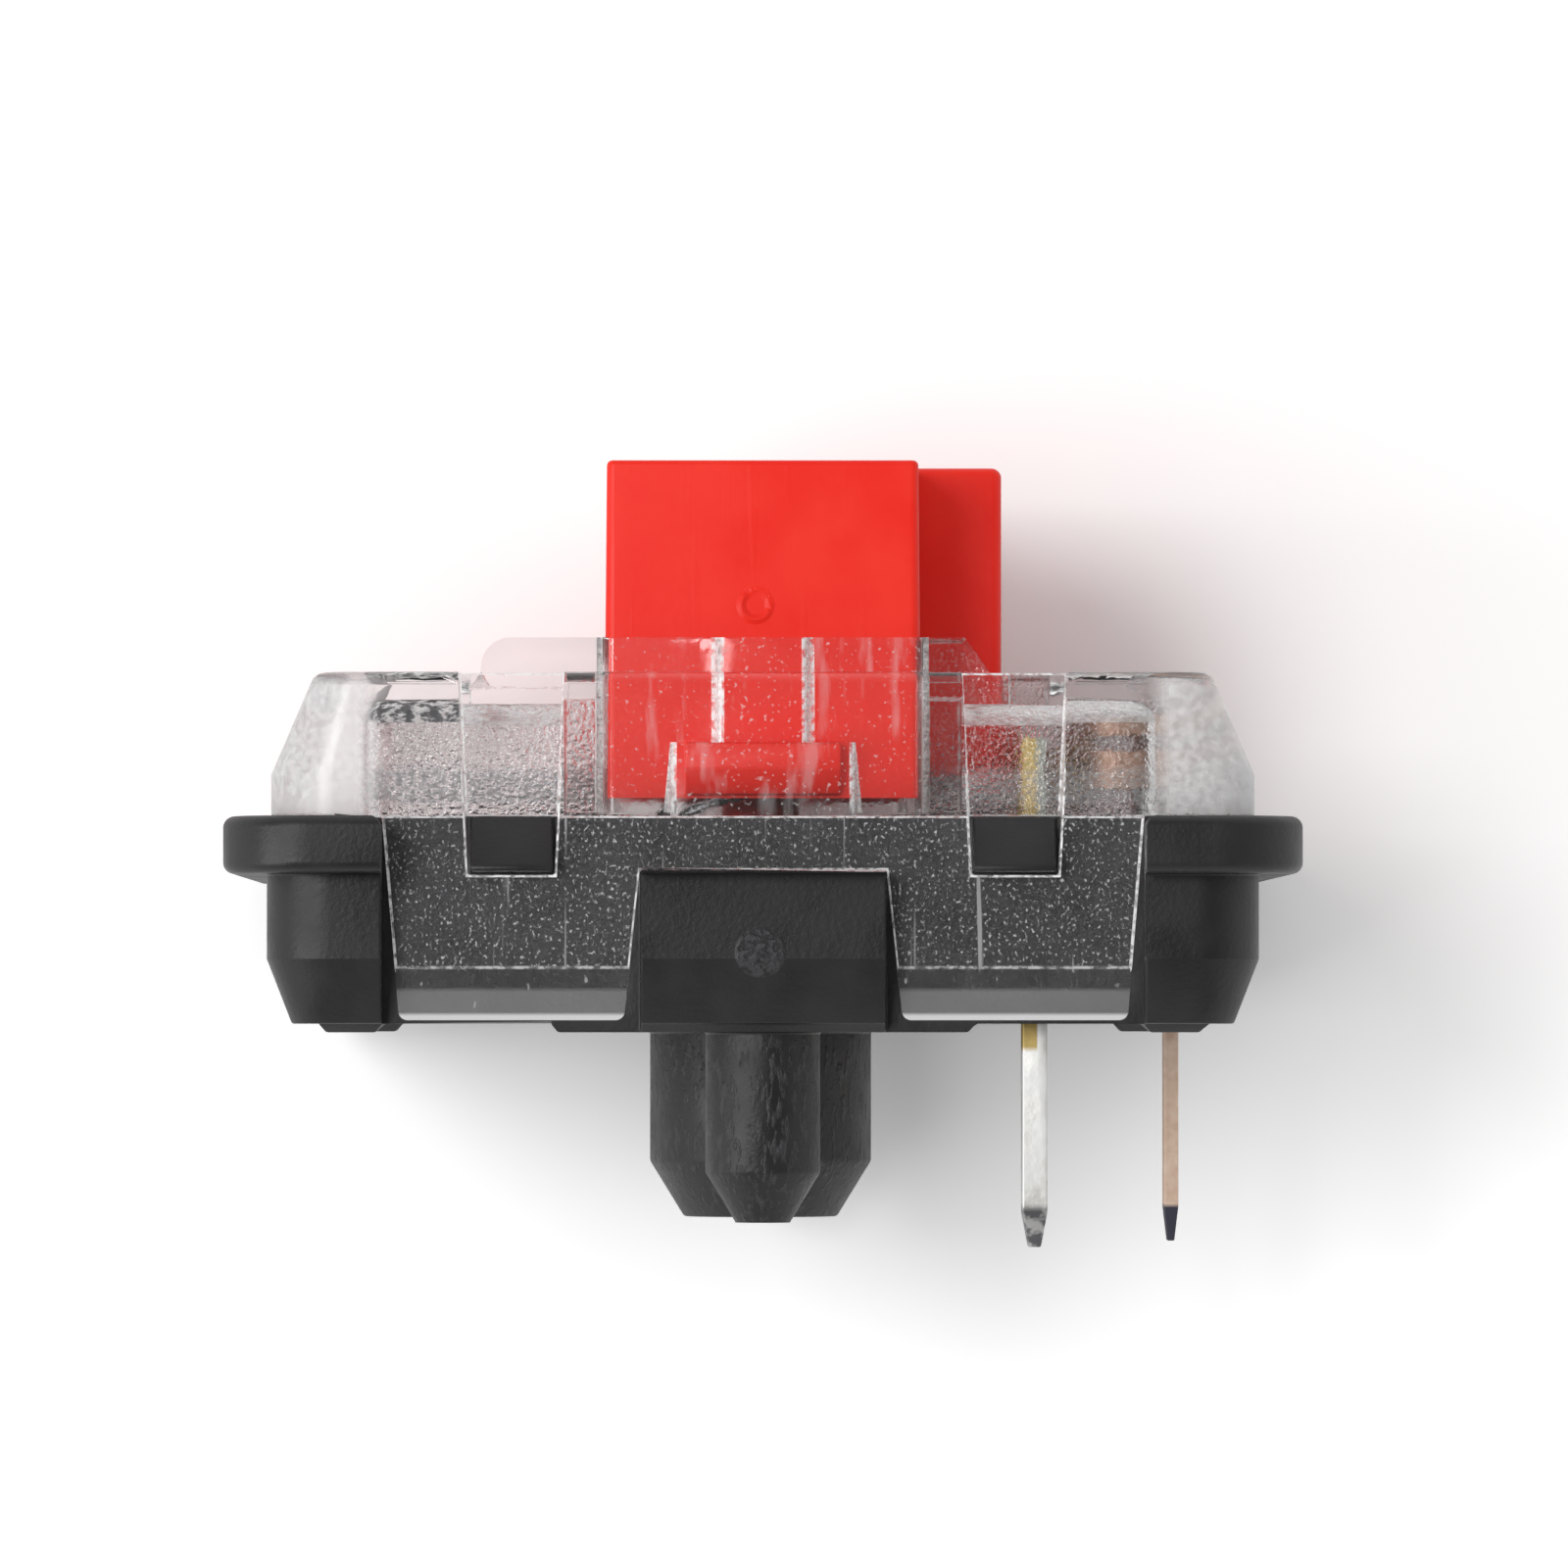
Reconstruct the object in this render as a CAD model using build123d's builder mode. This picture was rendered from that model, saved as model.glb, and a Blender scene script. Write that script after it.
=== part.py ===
"""Low-profile mechanical keyboard switch, in millimetres.

The origin is on the axis of the centre post, in the plane where the switch seats on its
circuit board. +Z runs along the stem towards the keycap, and the two side posts lie on Y.
"""

import os
from math import atan
from math import degrees

from build123d import *

os.makedirs("parts", exist_ok=True)

# Flange and tray of the lower housing
flange_lip = 0.6
flange_thickness = 0.8
flange_corner = 1.25
flange_edge = 0.16
seat_height = 2.2
body_width = 13.8
body_corner = 0.9
base_taper_height = 0.9
base_taper_inset = 0.35
base_rise = 0.12
floor_thickness = 0.38
side_wall = 0.7
end_wall = 0.75
cavity_corner = 0.5
well_floor = 0.25
light_window_length = 5.2
light_window_width = 2.2
light_window_inset = 0.4

# Seating pads and posts under the tray
strip_width = 5.9
strip_end_inset = 0.1
strip_chamfer = 0.1
nub_size = 0.88
nub_side_inset = 0.38
nub_end_inset = 0.26
centre_post_diameter = 3.18
centre_post_tip = 2.2
centre_post_straight = 1.85
side_post_diameter = 1.6
side_post_tip = 0.76
side_post_straight = 1.95
side_post_spacing = 11.0
post_length = 2.65

# Clear upper housing
cover_side_step = 0.06
cover_skirt_height = 0.58
cover_height = 2.0
cover_top_inset = 0.62
cover_end_inset = 0.08
cover_top_edge = 0.2
cover_corner = 0.9
cover_top_corner = 0.6
roof_thickness = 0.42
ceiling_edge = 0.3
cover_side_wall = 1.29
guide_wall = 0.45
guide_wall_length = 2.2

# Clip arms, their windows and the hooks that hold them
arm_thickness = 0.6
arm_outer_top = 5.28
arm_outer_bottom = 5.04
arm_inner_top = 1.71
arm_inner_bottom = 1.93
arm_bottom = 0.17
arm_corner = 0.13
lead_in_height = 0.73
lead_in_depth = 0.3
skirt_bottom = 2.25
window_x = 3.49
window_width = 1.2
window_bottom = 2.18
window_draft = 0.14
channel_inset = 0.3
hook_reach = 0.55
hook_lip = 0.08

# Collar round the stem opening
collar_height = 0.5
collar_left_wall = 1.61
collar_right_wall = 0.82
collar_end_wall = 0.52
collar_round = 0.42
collar_slope_width = 0.33
collar_slope_height = 0.46
guide_channel_width = 1.26
guide_channel_depth = 0.25

# Stem
stem_width = 4.44
stem_end_gap = 0.2
stem_top = 8.0
stem_draft = 0.5
stem_edge = 0.15
travel = 3.0
side_block_gap = 0.225
side_block_length = 5.6
slot_length = 3.0
slot_width = 1.2
slot_depth = 3.2
slot_spacing = 5.7
slot_lead_in = 0.1
lug_width = 2.18
lug_height = 0.7
lug_reach = 0.35
foot_length = 1.1

# Cam lobe that holds the leaf open at rest
lobe_reach = 0.55
lobe_width = 1.2
lobe_flat = 0.75
lobe_ramp = 0.5

# Return spring, its seat and the guide pole inside it
spring_wire = 0.2
spring_diameter = 2.84
spring_pitch = 0.95
spring_seat_height = 0.6
spring_roof = 1.1
pole_diameter = 1.4
pole_length = 5.9

# Contacts
tail_width = 0.9
tail_bottom = -3.0
tail_tip_length = 0.55
tail_tip_width = 0.4
tail_bevel_height = 0.5
plate_thickness = 0.35
plate_to_leaf = 2.1
plate_end_inset = 0.5
plate_foot = 1.1
plate_top = 4.13
plate_arm_height = 0.98
plate_end_y = -1.6
leaf_thickness = 0.2
leaf_wall_inset = 0.3
leaf_y = 0.0
leaf_shoulder = 0.3
leaf_top = 4.39
leaf_strip_height = 1.01
leaf_end_inset = 0.4
leaf_bend_radius = 0.35
leaf_bend_width = 1.28
tongue_end_y = 1.5
finger_length = 1.7
finger_tip_length = 0.3
finger_height = 0.4
bend_slot_height = 0.2
bend_slot_drop = 0.29
bend_slot_end_y = -4.0
point_y = -2.0
point_length = 0.95
point_width = 0.44
fixed_point_height = 0.08
moving_point_height = 0.24
holder_wall = 0.35
plate_holder_top = 2.2
leaf_holder_top = 2.6

# Clearances between the pieces
seat_clearance = 0.05
slide_clearance = 0.1
slot_clearance = 0.03
fit_clearance = 0.01
cam_clearance = 0.03
pole_clearance = 0.15
spring_clearance = 0.12

# Places that follow from the driving dimensions
flange_width = body_width + 2 * flange_lip
flange_top = seat_height + flange_thickness
floor_top = base_rise + floor_thickness
base_half = body_width / 2 - base_taper_inset
strip_length = 2 * (base_half - strip_end_inset)
nub_x = base_half - nub_side_inset - nub_size / 2
nub_y = base_half - nub_end_inset - nub_size / 2
cover_width = body_width - 2 * cover_side_step
cover_top = flange_top + cover_height
roof_bottom = cover_top - roof_thickness
arm_face = body_width / 2 - arm_thickness
bay_face = arm_face - seat_clearance
cavity_half_x = body_width / 2 - side_wall
cavity_half_y = bay_face - end_wall
light_window_x = light_window_inset + light_window_width / 2 - cavity_half_x
hook_bottom = window_bottom + seat_clearance
stem_half_width = stem_width / 2
stem_half_length = cavity_half_y - stem_end_gap
stem_length = 2 * stem_half_length
opening_half_width = stem_half_width + slide_clearance
opening_half_length = stem_half_length + slide_clearance
collar_left = opening_half_width + collar_left_wall
collar_right = opening_half_width + collar_right_wall
collar_length = 2 * (opening_half_length + collar_end_wall)
foot_bottom = well_floor + travel
skirt_of_stem = floor_top + seat_clearance + travel
lug_bottom = foot_bottom + seat_clearance
lug_pocket_half_width = lug_width / 2 + 2 * slide_clearance
lug_pocket_face = stem_half_length + lug_reach + slide_clearance
leaf_x = cavity_half_x - leaf_wall_inset
leaf_bend_y = leaf_end_inset - cavity_half_y
tongue_x = leaf_x - leaf_bend_width
plate_x = leaf_x - plate_to_leaf
plate_y = plate_end_inset - cavity_half_y
side_block_reach = plate_x - plate_thickness / 2 - side_block_gap
lobe_face = side_block_reach + lobe_reach
spring_radius = spring_diameter / 2
spring_pocket_radius = spring_radius + spring_wire / 2 + 2 * spring_clearance
spring_ceiling = stem_top - spring_roof
pole_bore_bottom = spring_ceiling - pole_length - travel - slide_clearance
plate_half = plate_thickness / 2
plate_foot_end = plate_y + tail_width / 2 + plate_foot
leaf_half = leaf_thickness / 2
leaf_bottom = leaf_top - leaf_strip_height
leaf_root_start = leaf_y - tail_width / 2 - leaf_shoulder
leaf_root_end = leaf_y + tail_width / 2 + leaf_shoulder
finger_x = lobe_face + cam_clearance + leaf_half
finger_bottom = skirt_of_stem
point_z = leaf_bottom + point_width / 2 + seat_clearance
outside = flange_width


def box_between(x_range, y_range, z_range, mode=Mode.ADD):
    """A box given by where it starts and ends on each axis."""
    x0, x1 = x_range
    y0, y1 = y_range
    z0, z1 = z_range
    with Locations(((x0 + x1) / 2, (y0 + y1) / 2, (z0 + z1) / 2)):
        Box(x1 - x0, y1 - y0, z1 - z0, mode=mode)


def box_at_both_ends(x_range, y_range, z_range, mode=Mode.ADD):
    """The same box at the front end and, mirrored, at the rear end."""
    y0, y1 = y_range
    box_between(x_range, (y0, y1), z_range, mode)
    box_between(x_range, (-y1, -y0), z_range, mode)


def end_plane(end, distance):
    """An upright plane that faces outwards at the front (-1) or rear (+1) end."""
    return Plane(origin=(0, end * distance, 0), x_dir=(-end, 0, 0), z_dir=(0, end, 0))


def turned_post(y, diameter, tip_diameter, straight):
    """A post under the tray, with a tapered tip."""
    with BuildSketch(Plane(origin=(0, y, 0), x_dir=(1, 0, 0), z_dir=(0, -1, 0))) as section:
        with BuildLine():
            Polyline(
                (0, well_floor / 2),
                (diameter / 2, well_floor / 2),
                (diameter / 2, -straight),
                (tip_diameter / 2, -post_length),
                (0, -post_length),
                close=True,
            )
        make_face()
    revolve(section.sketch, axis=Axis((0, y, 0), (0, 0, 1)))


def tapered_tail(x, y, thickness):
    """A flat solder tail, from inside the tray's floor down to its sheared tip."""
    tip_top = tail_bottom + tail_tip_length
    with BuildSketch(Plane(origin=(x, y, 0), x_dir=(0, 1, 0), z_dir=(1, 0, 0))) as blade:
        with BuildLine():
            Polyline(
                (-tail_width / 2, floor_top + seat_clearance),
                (-tail_width / 2, tip_top),
                (-tail_tip_width / 2, tail_bottom),
                (tail_tip_width / 2, tail_bottom),
                (tail_width / 2, tip_top),
                (tail_width / 2, floor_top + seat_clearance),
                close=True,
            )
        make_face()
    extrude(blade.sketch, amount=thickness / 2, both=True)

    # Both faces are pressed in towards the tip
    bevel_top = tail_bottom + tail_bevel_height
    for side in (-1, 1):
        with BuildSketch(Plane(origin=(x, y, 0), x_dir=(side, 0, 0), z_dir=(0, -side, 0))) as wedge:
            with BuildLine():
                Polyline(
                    (thickness / 4, tail_bottom),
                    (thickness / 2, bevel_top),
                    (thickness, bevel_top),
                    (thickness, tail_bottom),
                    close=True,
                )
            make_face()
        extrude(wedge.sketch, amount=tail_width / 2, both=True, mode=Mode.SUBTRACT)


# Black tray with its flange, hooks, contact holders and posts
with BuildPart() as lower_housing:
    # Flange, with soft edges all round
    with BuildSketch(Plane.XY.offset(seat_height)):
        RectangleRounded(flange_width, flange_width, flange_corner)
    extrude(amount=flange_thickness)
    fillet(lower_housing.faces().filter_by(Axis.Z).edges(), flange_edge)

    # Tray walls, and the base drawn in below them
    taper_top = base_rise + base_taper_height
    with BuildSketch(Plane.XY.offset(taper_top)):
        RectangleRounded(body_width, body_width, body_corner)
    extrude(amount=flange_top - taper_top)
    with BuildSketch(Plane(origin=(0, 0, taper_top), z_dir=(0, 0, -1))):
        RectangleRounded(body_width, body_width, body_corner)
    extrude(amount=base_taper_height, taper=degrees(atan(base_taper_inset / base_taper_height)))

    # Seating strip along the posts, and a nub at each corner
    with BuildSketch(Plane(origin=(0, 0, base_rise), z_dir=(0, 0, -1))):
        Rectangle(strip_width, strip_length)
        with GridLocations(2 * nub_x, 2 * nub_y, 2, 2):
            Rectangle(nub_size, nub_size)
    extrude(amount=base_rise, taper=degrees(atan(strip_chamfer / base_rise)))

    # Bays for the clip arms, and room for the cover's skirt above the block between them
    bay_inner = arm_inner_top - fit_clearance
    bay_outer = arm_outer_top + fit_clearance
    bay_shoulder = flange_top - flange_edge
    block_top = skirt_bottom - slot_clearance
    for end in (-1, 1):
        with BuildSketch(end_plane(end, bay_face)):
            with BuildLine():
                Polyline(
                    (-bay_outer, bay_shoulder),
                    (-bay_outer, -1),
                    (-bay_inner, -1),
                    (-bay_inner, block_top),
                    (bay_inner, block_top),
                    (bay_inner, -1),
                    (bay_outer, -1),
                    (bay_outer, bay_shoulder),
                )
                TangentArc(
                    (bay_outer, bay_shoulder),
                    (bay_outer + flange_edge, flange_top),
                    tangent=(0, 1),
                )
                Polyline(
                    (bay_outer + flange_edge, flange_top),
                    (bay_outer + flange_edge, flange_top + 1),
                    (-bay_outer - flange_edge, flange_top + 1),
                    (-bay_outer - flange_edge, flange_top),
                )
                TangentArc(
                    (-bay_outer, bay_shoulder),
                    (-bay_outer - flange_edge, flange_top),
                    tangent=(0, 1),
                )
            make_face()
        extrude(amount=flange_width, mode=Mode.SUBTRACT)

    # Hollow of the tray
    with BuildSketch(Plane.XY.offset(floor_top)):
        RectangleRounded(2 * cavity_half_x, 2 * cavity_half_y, cavity_corner)
    extrude(amount=flange_top, mode=Mode.SUBTRACT)

    # Holder of the fixed contact's plate, in the corner of the tray
    box_between(
        (plate_x - plate_half - holder_wall, plate_x + plate_half + holder_wall),
        (-cavity_half_y, plate_foot_end + holder_wall),
        (base_rise, plate_holder_top),
    )
    plate_slot = plate_half + slot_clearance
    box_between(
        (plate_x - plate_slot, plate_x + plate_slot),
        (plate_y - tail_width / 2 - slot_clearance, plate_foot_end + slot_clearance),
        (floor_top, outside),
        Mode.SUBTRACT,
    )

    # Holder of the leaf's root, against the side wall
    box_between(
        (leaf_x - leaf_half - holder_wall, cavity_half_x),
        (leaf_root_start - holder_wall, leaf_root_end + holder_wall),
        (base_rise, leaf_holder_top),
    )
    leaf_slot = leaf_half + slot_clearance
    box_between(
        (leaf_x - leaf_slot, leaf_x + leaf_slot),
        (leaf_root_start - slot_clearance, leaf_root_end + slot_clearance),
        (floor_top, outside),
        Mode.SUBTRACT,
    )

    # Slits in the floor for the two solder tails
    tail_slit = tail_width / 2 + slot_clearance
    for x, y, slit in ((plate_x, plate_y, plate_slot), (leaf_x, leaf_y, leaf_slot)):
        box_between((x - slit, x + slit), (y - tail_slit, y + tail_slit), (-1, 1), Mode.SUBTRACT)

    # Wells for the stem's feet and grooves for its lugs
    well_start = stem_half_length - foot_length - slide_clearance
    box_at_both_ends(
        (-opening_half_width, opening_half_width),
        (well_start, opening_half_length),
        (well_floor, flange_top + 1),
        Mode.SUBTRACT,
    )
    box_at_both_ends(
        (-lug_pocket_half_width, lug_pocket_half_width),
        (stem_half_length, lug_pocket_face),
        (well_floor, flange_top + 1),
        Mode.SUBTRACT,
    )

    # Window in the floor for a light on the circuit board
    with Locations((light_window_x, 0, 0)):
        Box(light_window_width, light_window_length, 4 * floor_top, mode=Mode.SUBTRACT)

    # Four wedge hooks that the cover's windows snap over
    for end in (-1, 1):
        for side in (-1, 1):
            with BuildSketch(Plane.YZ.offset(side * window_x)):
                with BuildLine():
                    Polyline(
                        (end * (bay_face - end_wall / 2), hook_bottom),
                        (end * (bay_face + hook_reach), hook_bottom),
                        (end * (bay_face + hook_reach), hook_bottom + hook_lip),
                        (end * bay_face, flange_top),
                        (end * (bay_face - end_wall / 2), flange_top),
                        close=True,
                    )
                make_face()
            extrude(amount=window_width / 2 - slot_clearance, both=True)

    # Centre post and side posts
    turned_post(0, centre_post_diameter, centre_post_tip, centre_post_straight)
    turned_post(-side_post_spacing / 2, side_post_diameter, side_post_tip, side_post_straight)
    turned_post(side_post_spacing / 2, side_post_diameter, side_post_tip, side_post_straight)

    # Spring seat, and the bore that takes the stem's guide pole
    with BuildSketch(Plane.XY.offset(base_rise)):
        Circle(spring_radius - spring_wire / 2 - spring_clearance)
    extrude(amount=floor_thickness + spring_seat_height)
    with BuildSketch(Plane.XY.offset(pole_bore_bottom)):
        Circle(pole_diameter / 2 + pole_clearance)
    extrude(amount=flange_top - pole_bore_bottom, mode=Mode.SUBTRACT)


# Core that leaves the hollow under the cover's roof
with BuildPart() as cover_core:
    with BuildSketch(Plane.XY.offset(flange_top)):
        RectangleRounded(cover_width - 2 * cover_side_wall, 2 * cavity_half_y, cavity_corner)
    extrude(amount=cover_height - roof_thickness)
    fillet(cover_core.faces().sort_by(Axis.Z)[-1].edges(), ceiling_edge)


# Clear cover with its clip arms and the collar round the stem
with BuildPart() as upper_housing:
    # Upright skirt, then sides that lean in to the roof between almost upright ends
    slope_bottom = flange_top + cover_skirt_height
    with BuildSketch(Plane.XY.offset(flange_top)):
        RectangleRounded(cover_width, body_width, cover_corner)
    extrude(amount=cover_skirt_height)
    with BuildSketch(Plane.XY.offset(slope_bottom)):
        RectangleRounded(cover_width, body_width, cover_corner)
    with BuildSketch(Plane.XY.offset(cover_top)):
        RectangleRounded(
            cover_width - 2 * cover_top_inset,
            body_width - 2 * cover_end_inset,
            cover_top_corner,
        )
    loft(ruled=True)
    fillet(upper_housing.faces().sort_by(Axis.Z)[-1].edges(), cover_top_edge)

    # Raised collar: a rounded rail on the left, sloped ends on the right
    with BuildSketch(Plane.XY.offset(roof_bottom)):
        with Locations(((collar_right - collar_left) / 2, 0)):
            Rectangle(collar_right + collar_left, collar_length)
    extrude(amount=roof_thickness + collar_height)
    rims = upper_housing.faces().sort_by(Axis.Z)[-1].edges().filter_by(Axis.Y)
    fillet(rims.sort_by(Axis.X)[0], collar_round)
    rims = upper_housing.faces().sort_by(Axis.Z)[-1].edges().filter_by(Axis.Y)
    slope_edge = rims.sort_by(Axis.X)[-1]
    collar_face = upper_housing.faces().sort_by(Axis.Z)[-1]
    chamfer(slope_edge, collar_slope_width, collar_slope_height, reference=collar_face)

    # Front and rear skirts with their clip arms
    for end in (-1, 1):
        with BuildSketch(end_plane(end, arm_face)):
            with BuildLine():
                Polyline(
                    (-arm_outer_top, slope_bottom),
                    (-arm_outer_top, flange_top),
                    (-arm_outer_bottom, arm_bottom),
                    (-arm_inner_bottom, arm_bottom),
                    (-arm_inner_top, skirt_bottom),
                    (arm_inner_top, skirt_bottom),
                    (arm_inner_bottom, arm_bottom),
                    (arm_outer_bottom, arm_bottom),
                    (arm_outer_top, flange_top),
                    (arm_outer_top, slope_bottom),
                    close=True,
                )
            outline = make_face()
            fillet(outline.vertices().group_by(Axis.Y)[0], arm_corner)
        extrude(amount=arm_thickness)

    # Lead-in on the inner face of each arm
    for end in (-1, 1):
        with BuildSketch(Plane.YZ):
            with BuildLine():
                Polyline(
                    (end * arm_face, arm_bottom + lead_in_height),
                    (end * (arm_face + lead_in_depth), arm_bottom),
                    (end * arm_face, arm_bottom),
                    close=True,
                )
            make_face()
        extrude(amount=arm_outer_top, both=True, mode=Mode.SUBTRACT)

    # Hollow under the roof, and the guide walls that the stem slides between
    add(cover_core.part, mode=Mode.SUBTRACT)
    guide_x = opening_half_width + guide_wall
    guide_y = (cavity_half_y - guide_wall_length, cavity_half_y)
    box_at_both_ends((-guide_x, guide_x), guide_y, (flange_top + seat_clearance, roof_bottom))

    # Bay for the two contacts, which runs into the side wall
    box_between(
        (plate_x - plate_half - slide_clearance, leaf_x + leaf_half + slide_clearance),
        (leaf_bend_y - leaf_half - slide_clearance, leaf_root_end + holder_wall),
        (flange_top, roof_bottom),
        Mode.SUBTRACT,
    )

    # Opening for the stem, its side block and its cam lobe
    through = (0, outside)
    with BuildSketch(Plane.XY):
        RectangleRounded(
            2 * opening_half_width,
            2 * opening_half_length,
            stem_edge + slide_clearance,
        )
    extrude(amount=outside, mode=Mode.SUBTRACT)
    side_block_half = side_block_length / 2 + slide_clearance
    box_between(
        (0, side_block_reach + slide_clearance),
        (-side_block_half, side_block_half),
        through,
        Mode.SUBTRACT,
    )
    lobe_half = lobe_width / 2 + slide_clearance
    box_between(
        (0, lobe_face + slide_clearance),
        (-lobe_half, lobe_half),
        through,
        Mode.SUBTRACT,
    )
    box_between(
        (opening_half_width, outside),
        (-side_block_half, side_block_half),
        (cover_top, outside),
        Mode.SUBTRACT,
    )

    # Pockets that stop the stem's lugs, and the core channels above them
    box_at_both_ends(
        (-lug_pocket_half_width, lug_pocket_half_width),
        (stem_half_length, lug_pocket_face),
        (0, lug_bottom + lug_height + fit_clearance),
        Mode.SUBTRACT,
    )
    box_at_both_ends(
        (-guide_channel_width / 2, guide_channel_width / 2),
        (stem_half_length, opening_half_length + guide_channel_depth),
        through,
        Mode.SUBTRACT,
    )

    # Windows over the hooks, with the open channels above them
    window_half = window_width / 2
    for end in (-1, 1):
        with BuildSketch(end_plane(end, arm_face - channel_inset)):
            for side in (-1, 1):
                centre = side * window_x
                with BuildLine():
                    Polyline(
                        (centre - window_half, window_bottom),
                        (centre + window_half, window_bottom),
                        (centre + window_half + window_draft, cover_top),
                        (centre - window_half - window_draft, cover_top),
                        close=True,
                    )
                make_face()
        extrude(amount=channel_inset + arm_thickness, mode=Mode.SUBTRACT)


# Side block of the stem, which stands over the leaf
with BuildPart() as side_block:
    with BuildSketch(Plane.XY.offset(foot_bottom)):
        with Locations((side_block_reach / 2, 0)):
            RectangleRounded(side_block_reach, side_block_length, stem_edge)
    extrude(amount=stem_top - foot_bottom)
    fillet(side_block.faces().sort_by(Axis.Z)[-1].edges(), stem_edge - fit_clearance)


# Red stem with its keycap slots, lugs, cam lobe and guide pole
with BuildPart() as stem:
    # Main block, drawn in slightly towards the top
    with BuildSketch(Plane.XY.offset(foot_bottom)):
        RectangleRounded(stem_width, stem_length, stem_edge)
    extrude(amount=stem_top - foot_bottom, taper=stem_draft)
    fillet(stem.faces().sort_by(Axis.Z)[-1].edges(), stem_edge / 2)
    add(side_block.part)

    # The middle stands higher than the two feet
    box_between(
        (-outside, outside),
        (foot_length - stem_half_length, stem_half_length - foot_length),
        (0, skirt_of_stem),
        Mode.SUBTRACT,
    )

    # Cam lobe
    with BuildSketch(Plane.XZ):
        with BuildLine():
            Polyline(
                (side_block_reach - stem_edge, skirt_of_stem),
                (lobe_face, skirt_of_stem),
                (lobe_face, skirt_of_stem + lobe_flat),
                (side_block_reach, skirt_of_stem + lobe_flat + lobe_ramp),
                (side_block_reach - stem_edge, skirt_of_stem + lobe_flat + lobe_ramp),
                close=True,
            )
        make_face()
    extrude(amount=lobe_width / 2, both=True)

    # Lugs that stop against the cover at rest
    for end in (-1, 1):
        with BuildSketch(Plane.YZ):
            with BuildLine():
                Polyline(
                    (end * (stem_half_length - lug_reach), lug_bottom),
                    (end * (stem_half_length + lug_reach / 2), lug_bottom),
                    (end * (stem_half_length + lug_reach), lug_bottom + lug_height / 2),
                    (end * (stem_half_length + lug_reach), lug_bottom + lug_height),
                    (end * (stem_half_length - lug_reach), lug_bottom + lug_height),
                    close=True,
                )
            make_face()
        extrude(amount=lug_width / 2, both=True)

    # Two slots for the keycap's prongs
    with BuildSketch(Plane.XY.offset(stem_top)):
        with GridLocations(0, slot_spacing, 1, 2):
            Rectangle(slot_length, slot_width)
    extrude(amount=-slot_depth, mode=Mode.SUBTRACT)
    with BuildSketch(Plane.XY.offset(stem_top - slot_lead_in)):
        with GridLocations(0, slot_spacing, 1, 2):
            Rectangle(slot_length, slot_width)
    extrude(amount=slot_lead_in, taper=-45, mode=Mode.SUBTRACT)

    # Spring pocket, with the guide pole down its middle
    with BuildSketch(Plane.XY):
        Circle(spring_pocket_radius)
    extrude(amount=spring_ceiling, mode=Mode.SUBTRACT)
    with BuildSketch(Plane.XY.offset(spring_ceiling)):
        Circle(pole_diameter / 2)
    extrude(amount=-pole_length)
    chamfer(stem.faces().sort_by(Axis.Z)[0].edges(), pole_diameter / 8)


# Return spring, with both ends ground flat
with BuildPart() as return_spring:
    coil_bottom = floor_top - spring_wire / 2
    coil_height = spring_ceiling - floor_top + spring_wire
    with BuildLine() as coil:
        Helix(
            pitch=spring_pitch,
            height=coil_height,
            radius=spring_radius,
            center=(0, 0, coil_bottom),
        )
    with BuildSketch(Plane(origin=coil.line @ 0, z_dir=coil.line % 0)):
        RegularPolygon(spring_wire / 2, 6)
    sweep(path=coil.line, is_frenet=True)
    box_between(
        (-outside, outside),
        (-outside, outside),
        (floor_top + fit_clearance, spring_ceiling - fit_clearance),
        Mode.INTERSECT,
    )


# Fixed contact: a plate in its holder, with its arm beside the stem
with BuildPart() as fixed_contact:
    foot_start = plate_y - tail_width / 2
    arm_bottom_z = plate_top - plate_arm_height
    with BuildSketch(Plane(origin=(plate_x, 0, 0), x_dir=(0, 1, 0), z_dir=(1, 0, 0))):
        with BuildLine():
            Polyline(
                (foot_start, floor_top + seat_clearance),
                (plate_foot_end, floor_top + seat_clearance),
                (plate_foot_end, arm_bottom_z),
                (plate_end_y, arm_bottom_z),
                (plate_end_y, plate_top),
                (plate_y, plate_top),
                (plate_y, arm_bottom_z),
                (foot_start, plate_holder_top),
                close=True,
            )
        make_face()
    extrude(amount=plate_half, both=True)
    tapered_tail(plate_x, plate_y, plate_thickness)


# Gold bar welded upright on the fixed contact
with BuildPart() as fixed_contact_point:
    fixed_face = plate_x + plate_half
    box_between(
        (fixed_face, fixed_face + fixed_point_height),
        (point_y - point_width / 2, point_y + point_width / 2),
        (plate_top - plate_arm_height + slot_clearance, plate_top - slot_clearance),
    )


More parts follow.
